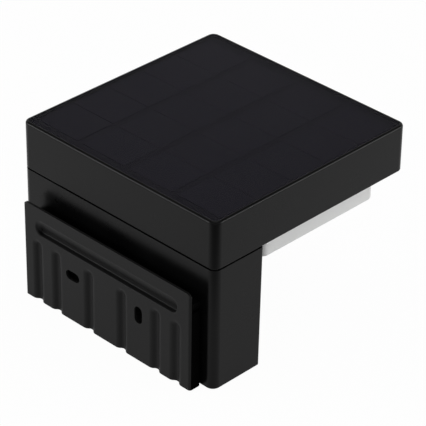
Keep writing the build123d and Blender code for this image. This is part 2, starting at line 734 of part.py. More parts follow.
nodes = {
    "wall_bracket": make_wall_bracket(),
    "head_housing": make_head_housing(),
    "solar_cover": prism(
        panel_width, panel_depth, panel_radius, cover_bottom, head_top - PANEL_RECESS, head_middle
    ),
    "solar_cells": make_solar_cells(),
    "solar_backboard": prism(
        panel_width, panel_depth, panel_radius, backboard_bottom, cell_bottom, head_middle
    ),
    "panel_seal": make_panel_seal(),
    "diffuser": make_diffuser(),
    "diffuser_seal": make_diffuser_seal(),
    "led_board": make_led_board(),
    "leds": make_leds(),
    "led_board_screws": small_screws(led_boss_places, led_board_top, LED_BOARD_THICKNESS + SMALL_SCREW_REACH),
    "leg_housing": make_leg_housing(),
    "head_screws": screws(column_places, floor_top, SCREW_REACH),
    "leg_base": make_leg_base(),
    "base_seal": make_base_seal(),
    "base_screws": screws(column_places, base_bottom, SCREW_REACH, turned=True),
    "controller_board": make_controller_board(),
    "board_components": make_board_components(),
    "lead_connector": make_lead_connector(),
    "controller_screws": small_screws(post_places, board_top, BOARD_THICKNESS + SMALL_SCREW_REACH),
    "battery": make_battery(),
    "battery_holder": make_battery_holder(),
    "battery_contacts": make_battery_contacts(),
    "switch_body": make_switch_body(),
    "switch_plunger": make_switch_plunger(),
    "switch_button": make_switch_button(),
    "wire_grommet": make_wire_grommet(),
    "panel_leads": make_panel_leads(),
    "led_leads": make_led_leads(),
}

os.makedirs("parts", exist_ok=True)
for name, shape in nodes.items():
    export_step(shape, f"parts/{name}.step")
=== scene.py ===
# %% [markdown]
# # Solar wall light
# The light is a flat black square with a solar panel on top. A leg behind it holds the battery,
# a frosted light block hangs under it, and a pressed steel bracket holds it on the wall.
# The CAD model gives every solid its size and place. This lesson adds the finishes, the small
# detail that CAD leaves plain, the studio and the camera.

# %% Load the CAD model
import json
import math

import bmesh
import bpy
from mathutils import Matrix, Vector


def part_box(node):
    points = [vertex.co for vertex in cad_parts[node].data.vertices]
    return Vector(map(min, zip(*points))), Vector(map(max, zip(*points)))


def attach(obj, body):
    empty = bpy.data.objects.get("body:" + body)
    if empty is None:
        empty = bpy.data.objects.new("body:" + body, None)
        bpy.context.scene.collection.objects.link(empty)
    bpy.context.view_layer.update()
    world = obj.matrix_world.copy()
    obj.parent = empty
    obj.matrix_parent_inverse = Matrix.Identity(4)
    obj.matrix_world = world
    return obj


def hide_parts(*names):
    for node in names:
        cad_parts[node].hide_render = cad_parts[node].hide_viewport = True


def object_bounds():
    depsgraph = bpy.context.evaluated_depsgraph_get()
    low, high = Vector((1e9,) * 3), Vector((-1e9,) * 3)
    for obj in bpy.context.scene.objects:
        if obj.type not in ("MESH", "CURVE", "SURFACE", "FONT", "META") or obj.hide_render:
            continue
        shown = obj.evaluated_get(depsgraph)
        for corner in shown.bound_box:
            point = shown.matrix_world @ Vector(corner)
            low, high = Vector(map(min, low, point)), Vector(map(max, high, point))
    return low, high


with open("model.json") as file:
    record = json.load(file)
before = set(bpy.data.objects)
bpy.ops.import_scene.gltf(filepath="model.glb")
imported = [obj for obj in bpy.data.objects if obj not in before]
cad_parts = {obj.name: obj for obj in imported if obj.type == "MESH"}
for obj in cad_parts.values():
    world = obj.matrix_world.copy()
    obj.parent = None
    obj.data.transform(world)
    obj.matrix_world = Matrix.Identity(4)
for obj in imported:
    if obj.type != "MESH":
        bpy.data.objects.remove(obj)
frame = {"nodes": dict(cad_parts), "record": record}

cad_nodes = frame["nodes"]
cad_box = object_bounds()
for plain_colour in list(bpy.data.materials):
    bpy.data.materials.remove(plain_colour)
MM = 0.001
print("CAD box in mm:", [[round(v / MM, 1) for v in corner] for corner in cad_box])

# %% [markdown]
# ## Helpers for finishes
# A finish is a material: one Principled shader whose colour, roughness and small dents come from
# patterns. The patterns could be painted pictures, but noise needs no picture and has no seams.
# Every pattern here reads Object coordinates in metres, so a speckle has a real size.

# %% Node helpers
def fill(tree, socket, value):
    """Links a socket to another node's output, or sets its own value."""
    if isinstance(value, bpy.types.NodeSocket):
        tree.links.new(value, socket)
    else:
        socket.default_value = value


def pick(sockets, key):
    """A socket by place, or the one in use by name."""
    if isinstance(key, int):
        return sockets[key]
    return next(s for s in sockets if s.name == key and s.enabled)


def add(tree, kind, inputs=None, **settings):
    """A new node with its settings and inputs filled in."""
    node = tree.nodes.new(kind)
    for name, value in settings.items():
        setattr(node, name, value)
    for key, value in (inputs or {}).items():
        fill(tree, pick(node.inputs, key), value)
    return node


def sums(tree, operation, first, second):
    """One step of arithmetic."""
    return add(tree, "ShaderNodeMath", {0: first, 1: second}, operation=operation).outputs["Value"]


print("Node helpers ready")

# %% An empty finish
SHINE = "Specular IOR Level"


def blank_finish(name):
    """A material with a Principled shader, and the place to read patterns from."""
    material = bpy.data.materials.new(name)
    material.use_nodes = True
    tree = material.node_tree
    tree.nodes.clear()
    skin = add(tree, "ShaderNodeBsdfPrincipled")
    add(tree, "ShaderNodeOutputMaterial", {"Surface": skin.outputs["BSDF"]})
    place = add(tree, "ShaderNodeTexCoord").outputs["Object"]
    return material, tree, skin, place


def set_skin(tree, skin, values):
    """Fills the shader's inputs, with a link for a pattern and a value for a constant."""
    for name, value in values.items():
        fill(tree, skin.inputs[name], value)


print("Finishes set their shine on the socket", SHINE)

# %% [markdown]
# A few small patterns do most of the work: speckle, stripes and pores, a range and a tint that
# put them to use, and dents that tilt the light without moving the surface. Noise keeps to the
# middle of its range, so the range and the tint stretch that middle. CAD leaves every edge perfectly
# sharp and clean, so the second cell also softens and rubs the edges.

# %% Pattern helpers
NOISE_LOW, NOISE_HIGH = 0.3, 0.7


def speckle(tree, place, size, detail=2.0):
    """Noise whose spots are about size metres across."""
    inputs = {"Vector": place, "Scale": 1 / size, "Detail": detail}
    return add(tree, "ShaderNodeTexNoise", inputs).outputs["Fac"]


def stripes(tree, place, scale, axis, distortion=0.0):
    """Waves that follow each other along one axis."""
    inputs = {"Vector": place, "Scale": scale, "Distortion": distortion}
    return add(tree, "ShaderNodeTexWave", inputs, bands_direction=axis).outputs["Fac"]


def pores(tree, place, scale):
    """Round pits, scale of them in a metre."""
    inputs = {"Vector": place, "Scale": scale}
    return add(tree, "ShaderNodeTexVoronoi", inputs, feature="F1").outputs["Distance"]


def between(tree, pattern, low, high, start=NOISE_LOW, end=NOISE_HIGH):
    """The pattern stretched to run from low to high."""
    inputs = {"Value": pattern, "From Min": start, "From Max": end, "To Min": low, "To Max": high}
    return add(tree, "ShaderNodeMapRange", inputs).outputs["Result"]


def tint(tree, pattern, dark, light):
    """A colour that goes from dark to light with the pattern."""
    ramp = add(tree, "ShaderNodeValToRGB", {"Fac": pattern})
    stops = zip(ramp.color_ramp.elements, (NOISE_LOW, NOISE_HIGH), (dark, light))
    for element, position, colour in stops:
        element.position = position
        element.color = (*colour, 1.0)
    return ramp.outputs["Color"]


print("Pattern helpers ready")

# %% Relief and wear
EDGE_SAMPLES = 6


def dents(tree, height, depth, strength, normal=None):
    """Bumps of that depth in metres."""
    inputs = {"Height": height, "Distance": depth, "Strength": strength}
    if normal is not None:
        inputs["Normal"] = normal
    return add(tree, "ShaderNodeBump", inputs).outputs["Normal"]


def soft_edge(tree, radius):
    """The surface's direction with its edges rounded off, for shading alone."""
    return add(tree, "ShaderNodeBevel", {"Radius": radius}, samples=EDGE_SAMPLES).outputs["Normal"]


def rubbed_edges(tree, reach):
    """A mask that is 1 on outer edges, where hands rub, and 0 on flat faces."""
    settings = {"inside": True, "only_local": True, "samples": EDGE_SAMPLES}
    within = add(tree, "ShaderNodeAmbientOcclusion", {"Distance": reach}, **settings)
    return between(tree, within.outputs["AO"], 0.0, 1.0, start=0.95, end=0.55)


def wear(tree, colour, worn_colour, mask):
    """The colour, turning to the worn one where the mask says so."""
    inputs = {"Factor": mask, "A": colour, "B": (*worn_colour, 1.0)}
    return pick(add(tree, "ShaderNodeMix", inputs, data_type="RGBA").outputs, "Result")


print("Relief and wear ready")

# %% [markdown]
# ## Black moulded plastic
# The head, the leg and its bottom cover are black ABS from a spark-eroded mould: a very fine even
# grain that breaks up reflections. The colour is almost black, so the grey that the eye sees is
# the pale studio mirrored in a satin skin. That is why the shine matters more than the colour.
# A flat black would do from afar, but close up the grain and the rubbed edges make it a moulding.
# The small mouldings inside come from the same function, duller and with a coarser grain.

# %% Housing finish
RUBBED_BLACK = (0.003, 0.003, 0.003)


def moulded_finish(name, dark, light, grain, shine, roughness):
    material, tree, skin, place = blank_finish(name)
    flow = speckle(tree, place, size=18 * MM, detail=3.0)
    spark = speckle(tree, place, size=grain, detail=1.0)
    colour = tint(tree, flow, dark, light)
    rounded = soft_edge(tree, radius=0.1 * MM)
    set_skin(tree, skin, {
        "Base Color": wear(tree, colour, RUBBED_BLACK, rubbed_edges(tree, reach=0.6 * MM)),
        "Roughness": between(tree, flow, *roughness),
        "Normal": dents(tree, spark, depth=0.03 * MM, strength=0.25, normal=rounded),
        SHINE: shine,
    })
    return material


housing_plastic = moulded_finish(
    "housing_plastic", dark=(0.0014, 0.0014, 0.0015), light=(0.0022, 0.0022, 0.0023),
    grain=0.28 * MM, shine=0.125, roughness=(0.26, 0.32),
)
inner_plastic = moulded_finish(
    "inner_plastic", dark=(0.010, 0.010, 0.010), light=(0.016, 0.016, 0.016),
    grain=0.4 * MM, shine=0.3, roughness=(0.5, 0.6),
)
print("Made", housing_plastic.name, "and", inner_plastic.name)

# %% [markdown]
# ## Powder coat
# The bracket is steel sheet under black powder coat. Powder melts into a satin skin with a faint
# orange peel, a ripple a millimetre or so across, and thins out on sharp edges. The folded sides
# get painted shade: a near-black finish without shine, so they look as black as the shadowed gap
# between the plate and the leg. Two finishes from one function keep the ripple the same on both.

# %% Bracket finishes
def powder_coat(name, dark, light, worn_colour, shine, roughness):
    material, tree, skin, place = blank_finish(name)
    peel = speckle(tree, place, size=1.2 * MM)
    cloud = speckle(tree, place, size=14 * MM)
    colour = tint(tree, cloud, dark, light)
    rounded = soft_edge(tree, radius=0.12 * MM)
    set_skin(tree, skin, {
        "Base Color": wear(tree, colour, worn_colour, rubbed_edges(tree, reach=0.4 * MM)),
        "Roughness": between(tree, cloud, *roughness),
        "Normal": dents(tree, peel, depth=0.02 * MM, strength=0.3, normal=rounded),
        SHINE: shine,
    })
    return material


bracket_steel = powder_coat(
    "bracket_steel", dark=(0.0075, 0.0075, 0.0076), light=(0.0095, 0.0095, 0.0096),
    worn_colour=(0.012, 0.012, 0.012), shine=0.108, roughness=(0.42, 0.50),
)
# Painted shade: the folded sides are near black and without shine, like the shadowed gap beside them.
bracket_fold_shade = powder_coat(
    "bracket_fold_shade", dark=(0.0015, 0.0015, 0.0015), light=(0.0024, 0.0024, 0.0024),
    worn_colour=RUBBED_BLACK, shine=0.0, roughness=(0.75, 0.85),
)
print("Made", bracket_steel.name, "and", bracket_fold_shade.name)

# %% [markdown]
# ## Panel film
# The solar cells lie under a clear sheet with a satin, faintly dimpled face that catches low light
# and kills mirror images. It is made see-through with the shader's alpha, so the cells below stay
# real pieces with depth instead of a drawing on the sheet. Its underside is glued to the panel.
# Glue leaves no air there to mirror anything, so that face is almost fully clear.

# %% Film finishes
def satin_film(name, shine, alpha):
    material, tree, skin, place = blank_finish(name)
    dimple = speckle(tree, place, size=0.7 * MM, detail=1.0)
    haze = speckle(tree, place, size=20 * MM, detail=3.0)
    set_skin(tree, skin, {
        "Base Color": tint(tree, haze, dark=(0.0015, 0.0015, 0.0020), light=(0.0025, 0.0025, 0.0032)),
        "Roughness": between(tree, haze, 0.34, 0.42),
        "Normal": dents(tree, dimple, depth=0.02 * MM, strength=0.04),
        SHINE: shine,
        "Alpha": alpha,
    })
    return material


panel_film = satin_film("panel_film", shine=0.077, alpha=0.6)
film_glue = satin_film("film_glue", shine=0.0, alpha=0.02)
print("Made", panel_film.name, "and", film_glue.name)

# %% [markdown]
# Where the sheet is cut to size its edge is left matt. Its tone is painted light: the edge takes the
# cells' lit tone, so that seen through the sheet it hides the far wall of the recess, which would
# otherwise show as a dark band of shade. Waves across the edge stand for the marks that a saw leaves.

# %% Film edge finish
def sawn_edge_painted_light():
    material, tree, skin, place = blank_finish("film_edge_painted_light")
    marks = stripes(tree, place, scale=900.0, axis="Z", distortion=4.0)
    set_skin(tree, skin, {
        # Painted light: the cells' lit tone, not the cut edge's own colour.
        "Base Color": tint(tree, marks, dark=(0.040, 0.036, 0.058), light=(0.052, 0.047, 0.075)),
        "Roughness": between(tree, marks, 0.6, 0.8),
        "Normal": dents(tree, marks, depth=0.01 * MM, strength=0.2),
        SHINE: 0.02,
    })
    return material


film_edge_painted_light = sawn_edge_painted_light()
print("Made", film_edge_painted_light.name)

# %% [markdown]
# ## Silicon and silver
# Each cell is a dark blue-violet wafer with thin silver lines printed on it. The wafers differ a
# little, so the grid below stores a tone for every cell and the silicon reads it by name. One
# picture of a panel could be laid over the sheet instead, but it would blur close up.

# %% Cell finishes
CELL_TONE = "cell_tone"


def silicon():
    material, tree, skin, place = blank_finish("solar_cell")
    tone = add(tree, "ShaderNodeAttribute", attribute_name=CELL_TONE).outputs["Fac"]
    etch = speckle(tree, place, size=0.6 * MM)
    shade = sums(tree, "MULTIPLY", etch, tone)
    set_skin(tree, skin, {
        "Base Color": tint(tree, shade, dark=(0.0400, 0.0345, 0.0610), light=(0.0450, 0.0390, 0.0690)),
        "Roughness": between(tree, etch, 0.35, 0.5),
        "Normal": dents(tree, etch, depth=0.01 * MM, strength=0.05),
        SHINE: 0.02,
    })
    return material


def silver_paste():
    material, tree, skin, place = blank_finish("silver_paste")
    grit = speckle(tree, place, size=0.2 * MM)
    set_skin(tree, skin, {
        "Base Color": tint(tree, grit, dark=(0.043, 0.038, 0.062), light=(0.050, 0.045, 0.072)),
        "Roughness": between(tree, grit, 0.4, 0.6),
        SHINE: 0.03,
    })
    return material


solar_cell = silicon()
silver_lines = silver_paste()
print("Made", solar_cell.name, "and", silver_lines.name)

# %% [markdown]
# ## Frosted light block
# The light block is milky acrylic. Light enters it, scatters and leaves nearby, which a little
# subsurface scattering gives. Glass with a milky volume would be nearer to the real thing, but it
# takes far longer to render. A fine frost keeps its face from showing sharp reflections.

# %% Frosted finish
SCATTER_LENGTH = 4 * MM


def frosted_acrylic():
    material, tree, skin, place = blank_finish("frosted_plastic")
    frost = speckle(tree, place, size=0.4 * MM)
    cloud = speckle(tree, place, size=20 * MM)
    rounded = soft_edge(tree, radius=0.3 * MM)
    set_skin(tree, skin, {
        "Base Color": tint(tree, cloud, dark=(0.69, 0.695, 0.69), light=(0.73, 0.73, 0.725)),
        "Roughness": between(tree, frost, 0.48, 0.6),
        "Normal": dents(tree, frost, depth=0.02 * MM, strength=0.2, normal=rounded),
        "Subsurface Weight": 0.25,
        "Subsurface Radius": (SCATTER_LENGTH, SCATTER_LENGTH, SCATTER_LENGTH),
        "Subsurface Scale": 1.0,
        SHINE: 0.3,
    })
    return material


frosted_plastic = frosted_acrylic()
print("Made", frosted_plastic.name)

# %% [markdown]
# ## Metals
# Screws are zinc plated, the battery's springs are nickel strip. Both get a fine directional grain:
# the noise is squeezed along one axis before it is read, so its spots become short scratches. The
# shader has a setting for brushed metal, but it needs directions on every face, and noise doesn't.

# %% Metal finishes
def plated_metal(name, dark, light, squeeze, roughness):
    material, tree, skin, place = blank_finish(name)
    squeezed = add(tree, "ShaderNodeMapping", {"Vector": place, "Scale": squeeze}).outputs["Vector"]
    brush = speckle(tree, squeezed, size=0.5 * MM, detail=3.0)
    bloom = speckle(tree, place, size=3 * MM)
    rounded = soft_edge(tree, radius=0.1 * MM)
    set_skin(tree, skin, {
        "Base Color": tint(tree, bloom, dark, light),
        "Roughness": between(tree, brush, *roughness),
        "Normal": dents(tree, brush, depth=0.01 * MM, strength=0.3, normal=rounded),
        "Metallic": 1.0,
    })
    return material


screw_steel = plated_metal(
    "screw_steel", dark=(0.36, 0.36, 0.37), light=(0.50, 0.50, 0.50),
    squeeze=(1.0, 1.0, 6.0), roughness=(0.28, 0.42),
)
contact_metal = plated_metal(
    "contact_metal", dark=(0.52, 0.50, 0.46), light=(0.66, 0.64, 0.58),
    squeeze=(1.0, 8.0, 1.0), roughness=(0.22, 0.36),
)
print("Made", screw_steel.name, "and", contact_metal.name)

# %% [markdown]
# ## Rubber and foam
# The button's cap and the grommet are soft black rubber with a stipple. The seals are closed-cell
# foam: round bubbles cut open. Both could be modelled pit by pit, but a Voronoi pattern gives round
# pits directly and costs no faces.

# %% Rubber and foam finishes
def stippled_rubber():
    material, tree, skin, place = blank_finish("button_rubber")
    stipple = pores(tree, place, scale=2200.0)
    dust = speckle(tree, place, size=2 * MM, detail=3.0)
    rounded = soft_edge(tree, radius=0.2 * MM)
    set_skin(tree, skin, {
        "Base Color": tint(tree, dust, dark=(0.010, 0.010, 0.010), light=(0.020, 0.020, 0.019)),
        "Roughness": between(tree, dust, 0.6, 0.75),
        "Normal": dents(tree, stipple, depth=0.08 * MM, strength=0.4, normal=rounded),
        SHINE: 0.3,
    })
    return material


def closed_cell_foam():
    material, tree, skin, place = blank_finish("seal_foam")
    bubbles = pores(tree, place, scale=2500.0)
    set_skin(tree, skin, {
        "Base Color": tint(tree, bubbles, dark=(0.006, 0.006, 0.006), light=(0.03, 0.03, 0.03)),
        "Normal": dents(tree, bubbles, depth=0.1 * MM, strength=0.6),
        "Roughness": 0.9,
        SHINE: 0.2,
    })
    return material


button_rubber = stippled_rubber()
seal_foam = closed_cell_foam()
print("Made", button_rubber.name, "and", seal_foam.name)

# %% [markdown]
# ## Boards, leads and the battery sleeve
# These sit inside, yet they show when the model is taken apart. Board laminate has a woven glass
# cloth under its lacquer, made here from two waves that cross. The panel's board is seen between
# the cells, so its lacquer is nearly as dark as they are. Lead sleeve and battery sleeve are glossy
# vinyl with a soft ripple.

# %% Board finishes
def laminate(name, dark, light, shine):
    material, tree, skin, place = blank_finish(name)
    warp, weft = [stripes(tree, place, scale=400.0, axis=axis) for axis in "XY"]
    cloth = sums(tree, "MULTIPLY", warp, weft)
    stain = speckle(tree, place, size=6 * MM, detail=3.0)
    set_skin(tree, skin, {
        "Base Color": tint(tree, stain, dark, light),
        "Roughness": between(tree, stain, 0.35, 0.5),
        "Normal": dents(tree, cloth, depth=0.02 * MM, strength=0.25),
        SHINE: shine,
    })
    return material


board_laminate = laminate(
    "board_laminate", dark=(0.028, 0.024, 0.045), light=(0.034, 0.029, 0.053), shine=0.02
)
white_laminate = laminate(
    "white_laminate", dark=(0.72, 0.72, 0.70), light=(0.82, 0.82, 0.80), shine=0.5
)
print("Made", board_laminate.name, "and", white_laminate.name)

# %% Sleeve finishes
def vinyl_sleeve(name, dark, light):
    material, tree, skin, place = blank_finish(name)
    ripple = speckle(tree, place, size=4 * MM)
    set_skin(tree, skin, {
        "Base Color": tint(tree, ripple, dark, light),
        "Roughness": between(tree, ripple, 0.25, 0.4),
        "Normal": dents(tree, ripple, depth=0.1 * MM, strength=0.2),
    })
    return material


cell_can = vinyl_sleeve("cell_can", dark=(0.05, 0.14, 0.32), light=(0.07, 0.18, 0.38))
lead_sleeve = vinyl_sleeve("lead_sleeve", dark=(0.32, 0.02, 0.015), light=(0.42, 0.03, 0.02))
print("Made", cell_can.name, "and", lead_sleeve.name)

# %% [markdown]
# ## LED package
# A surface-mounted LED is a white box with a round pool of yellow phosphor. The phosphor is powder
# in resin, so fine noise between two yellows is enough. It could glow, but the light is off here.

# %% LED finish
def phosphor():
    material, tree, skin, place = blank_finish("led_package")
    powder = speckle(tree, place, size=0.3 * MM)
    set_skin(tree, skin, {
        "Base Color": tint(tree, powder, dark=(0.72, 0.50, 0.10), light=(0.80, 0.60, 0.16)),
        "Roughness": between(tree, powder, 0.3, 0.5),
    })
    return material


led_package = phosphor()
print("Made", led_package.name)

# %% [markdown]
# ## Dress the CAD pieces
# The record names a material slot for every CAD piece, and the finishes above carry the same
# names. One loop therefore dresses all of them, and none can be forgotten.

# %% Give every CAD piece its finish
slot_of = {row["node"]: row["material_slot"] for row in frame["record"]["subparts"]}
for name, piece in cad_nodes.items():
    piece.data.materials.clear()
    piece.data.materials.append(bpy.data.materials[slot_of[name]])
print("Dressed", len(cad_nodes), "pieces in", len(set(slot_of.values())), "finishes")

# %% [markdown]
# The bracket needs a second finish, painted shade, on its folded sides alone. The film needs one of
# painted light on its cut edges and an almost clear one on its glued underside. More material slots
# do that without touching the shape: each face holds the number of its slot. The bracket's faces are
# picked by where they lie, outside the lips' inner edge and past the start of the bend. The film's
# are picked by whether they point sideways or down.

# %% Second finishes on the bracket and the film
def second_finish(name, material, chosen):
    """Puts one more material on the CAD piece, on the faces that pass a test."""
    mesh = cad_nodes[name].data
    mesh.materials.append(material)
    faces = [face for face in mesh.polygons if chosen(face)]
    for face in faces:
        face.material_index = len(mesh.materials) - 1
    print(name, "has", len(faces), "faces in", material.name)


FOLD_REACH, FOLD_DEPTH = 4.7 * MM, 0.7 * MM
LEVEL_FACE = 0.5
fold_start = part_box("wall_bracket")[1].x - FOLD_REACH
# The faces picked here take the painted shade of the folded sides.
second_finish(
    "wall_bracket", bracket_fold_shade, lambda f: abs(f.center.x) > fold_start and f.center.y < -FOLD_DEPTH
)
# The film's cut edges take the painted light of the cells' tone.
second_finish("solar_cover", film_edge_painted_light, lambda f: abs(f.normal.z) < LEVEL_FACE)
second_finish("solar_cover", film_glue, lambda f: f.normal.z < -LEVEL_FACE)

# %% [markdown]
# ## Geometry Nodes helpers
# What repeats is made with Geometry Nodes: a small program of nodes with named inputs. The result
# is turned into a plain mesh, so that nothing has to be worked out again when the piece moves.

# %% Build a tree and bake it
def in_scene(name, data):
    """A new object that holds the data, placed in the scene."""
    item = bpy.data.objects.new(name, data)
    bpy.context.scene.collection.objects.link(item)
    return item


def plain_mesh(item):
    """A copy of the item's mesh with its modifiers worked out."""
    graph = bpy.context.evaluated_depsgraph_get()
    return bpy.data.meshes.new_from_object(item.evaluated_get(graph))


def new_tree(name, inputs):
    """An empty tree with a geometry output and the named inputs."""
    tree = bpy.data.node_groups.new(name, "GeometryNodeTree")
    tree.interface.new_socket("Geometry", in_out="OUTPUT", socket_type="NodeSocketGeometry")
    for label, kind in inputs.items():
        tree.interface.new_socket(label, in_out="INPUT", socket_type="NodeSocket" + kind)
    return tree, add(tree, "NodeGroupInput").outputs


def bake(name, mesh, tree, values):
    """The tree's result on a mesh, as a plain object at the origin."""
    carrier = in_scene(name + "_carrier", mesh)
    modifier = carrier.modifiers.new("nodes", "NODES")
    modifier.node_group = tree
    for socket in tree.interface.items_tree:
        if socket.in_out == "INPUT" and socket.name in values:
            modifier[socket.identifier] = values[socket.name]
    result = plain_mesh(carrier)
    bpy.data.objects.remove(carrier)
    result.name = name
    print(name, "has", len(result.polygons), "faces")
    return in_scene(name, result)


print("Trees can be built and baked")

# %% Steps that the trees share
def triple(tree, x, y, z):
    """Three numbers as one vector."""
    return add(tree, "ShaderNodeCombineXYZ", {"X": x, "Y": y, "Z": z}).outputs["Vector"]


def random_number(tree, low, high, seed):
    """A number of its own for every copy."""
    inputs = {"Min": low, "Max": high, "Seed": seed}
    return pick(add(tree, "FunctionNodeRandomValue", inputs, data_type="FLOAT").outputs, "Value")


def copies(tree, points, item, **more):
    """The item on every point."""
    inputs = {"Points": points, "Instance": item, **more}
    return add(tree, "GeometryNodeInstanceOnPoints", inputs).outputs["Instances"]


def realized(tree, instances):
    """Copies turned into real geometry."""
    return add(tree, "GeometryNodeRealizeInstances", {"Geometry": instances}).outputs["Geometry"]


def moved(tree, geometry, offset):
    """The geometry shifted by an offset."""
    inputs = {"Geometry": geometry, "Translation": offset}
    return add(tree, "GeometryNodeTransform", inputs).outputs["Geometry"]


def joined(tree, *parts):
    """Several geometries as one."""
    join = add(tree, "GeometryNodeJoinGeometry")
    for part in parts:
        tree.links.new(part, join.inputs["Geometry"])
    return join.outputs["Geometry"]


def on_grid(tree, item, size):
    """The item on every point of a flat grid, moved to its place."""
    run_x = sums(tree, "MULTIPLY", size["Pitch X"], sums(tree, "SUBTRACT", size["Columns"], 1.0))
    run_y = sums(tree, "MULTIPLY", size["Pitch Y"], sums(tree, "SUBTRACT", size["Rows"], 1.0))
    grid = add(tree, "GeometryNodeMeshGrid", {
        "Size X": run_x, "Size Y": run_y, "Vertices X": size["Columns"], "Vertices Y": size["Rows"],
    })
    return moved(tree, copies(tree, grid.outputs["Mesh"], item), size["Place"])


print("Shared steps ready")

# %% [markdown]
# A piece in two finishes carries a mark: the faces of its small detail store a yes under a name.
# The last step coats everything in the first finish, and then the marked faces in the second. Two
# separate pieces would do as well, but one piece moves and hides as a whole.

# %% Marks and coats
def stored(tree, geometry, label, value, data_type, domain):
    """The geometry with a value under a name."""
    inputs = {"Geometry": geometry, "Name": label, "Value": value}
    settings = {"data_type": data_type, "domain": domain}
    return add(tree, "GeometryNodeStoreNamedAttribute", inputs, **settings).outputs["Geometry"]


def marked(tree, geometry, label):
    """The geometry with a yes under a name on every face."""
    return stored(tree, realized(tree, geometry), label, True, "BOOLEAN", "FACE")


def coated(tree, geometry, material, **more):
    """The geometry in a finish."""
    inputs = {"Geometry": geometry, "Material": material, **more}
    return add(tree, "GeometryNodeSetMaterial", inputs).outputs["Geometry"]


def painted(tree, geometry, base, detail, label):
    """The tree's last steps: one finish all over, then another on the marked faces."""
    where = add(tree, "GeometryNodeInputNamedAttribute", {"Name": label}, data_type="BOOLEAN")
    coat = coated(tree, geometry, base)
    top = coated(tree, coat, detail, Selection=pick(where.outputs, "Attribute"))
    add(tree, "NodeGroupOutput", {"Geometry": top})


print("Marks and coats ready")

# %% [markdown]
# ## The cell grid
# Four columns of five cells. One cell is a thin wafer, a row of fine silver fingers and two wider
# busbars across them. The tree builds that cell once and puts it on the points of a grid. It could
# be a bitmap, but real lines keep their edge at any distance.

# %% Cell grid tree
PALEST, DEEPEST = 1.15, 0.85


def printed_bars(tree, count, spacing, along, bar_size, height):
    """A row of thin bars on the wafer, spaced along X or Y and centred on it."""
    gaps = sums(tree, "SUBTRACT", count, 1.0)
    first = sums(tree, "MULTIPLY", gaps, sums(tree, "MULTIPLY", spacing, -0.5))
    start = (first, 0.0, height) if along == "X" else (0.0, first, height)
    step = (spacing, 0.0, 0.0) if along == "X" else (0.0, spacing, 0.0)
    inputs = {"Count": count, "Start Location": triple(tree, *start), "Offset": triple(tree, *step)}
    line = add(tree, "GeometryNodeMeshLine", inputs)
    bar = add(tree, "GeometryNodeMeshCube", {"Size": bar_size})
    return copies(tree, line.outputs["Mesh"], bar.outputs["Mesh"])


def cell_tree():
    tree, size = new_tree("Solar cells", {
        "Columns": "Int", "Rows": "Int", "Pitch X": "Float", "Pitch Y": "Float", "Place": "Vector",
        "Cell width": "Float", "Cell depth": "Float", "Wafer": "Float", "Paste": "Float",
        "Fingers": "Int", "Finger width": "Float", "Busbars": "Int", "Busbar width": "Float",
        "Tone seed": "Int", "Silicon": "Material", "Silver": "Material",
    })
    width, depth, paste = size["Cell width"], size["Cell depth"], size["Paste"]
    wafer = add(tree, "GeometryNodeMeshCube", {"Size": triple(tree, width, depth, size["Wafer"])})
    face = sums(tree, "MULTIPLY", size["Wafer"], 0.5)
    finger = triple(tree, width, size["Finger width"], paste)
    finger_pitch = sums(tree, "DIVIDE", depth, size["Fingers"])
    fingers = printed_bars(tree, size["Fingers"], finger_pitch, "Y", finger, face)
    busbar = triple(tree, size["Busbar width"], depth, paste)
    busbar_pitch = sums(tree, "DIVIDE", width, size["Busbars"])
    busbars = printed_bars(tree, size["Busbars"], busbar_pitch, "X", busbar, face)
    silver = marked(tree, joined(tree, fingers, busbars), "silver")
    cell = joined(tree, wafer.outputs["Mesh"], silver)
    tone = random_number(tree, DEEPEST, PALEST, size["Tone seed"])
    toned = stored(tree, on_grid(tree, cell, size), CELL_TONE, tone, "FLOAT", "INSTANCE")
    painted(tree, realized(tree, toned), size["Silicon"], size["Silver"], "silver")
    print(tree.name, "has", len(tree.nodes), "nodes")
    return tree


# %% Lay the cells
cells_low, cells_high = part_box("solar_cells")
COLUMNS, ROWS = 4, 5
COLUMN_GAP, ROW_GAP = 3.0 * MM, 0.4 * MM
WAFER, PASTE = 0.22 * MM, 0.03 * MM
FINGERS, FINGER_WIDTH = 14, 0.07 * MM
BUSBARS, BUSBAR_WIDTH = 2, 0.3 * MM
TONE_SEED = 7
cell_width = (cells_high.x - cells_low.x - (COLUMNS - 1) * COLUMN_GAP) / COLUMNS
cell_depth = (cells_high.y - cells_low.y - (ROWS - 1) * ROW_GAP) / ROWS
cells_middle = (cells_low + cells_high) / 2
cell_grid = bake("cell_grid", bpy.data.meshes.new("empty"), cell_tree(), {
    "Columns": COLUMNS, "Rows": ROWS,
    "Pitch X": cell_width + COLUMN_GAP, "Pitch Y": cell_depth + ROW_GAP,
    "Place": (cells_middle.x, cells_middle.y, cells_low.z + WAFER / 2),
    "Cell width": cell_width, "Cell depth": cell_depth, "Wafer": WAFER, "Paste": PASTE,
    "Fingers": FINGERS, "Finger width": FINGER_WIDTH,
    "Busbars": BUSBARS, "Busbar width": BUSBAR_WIDTH,
    "Tone seed": TONE_SEED, "Silicon": solar_cell, "Silver": silver_lines,
})
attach(cell_grid, "lamp")
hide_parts("solar_cells")

# %% [markdown]
# ## LEDs
# The same grid idea gives the lamps: a white package with a disc of phosphor on its underside. The
# CAD model has one plain block for each, and the box round all of them gives the grid's size.

# %% LED tree
POOL_SIDES = 24


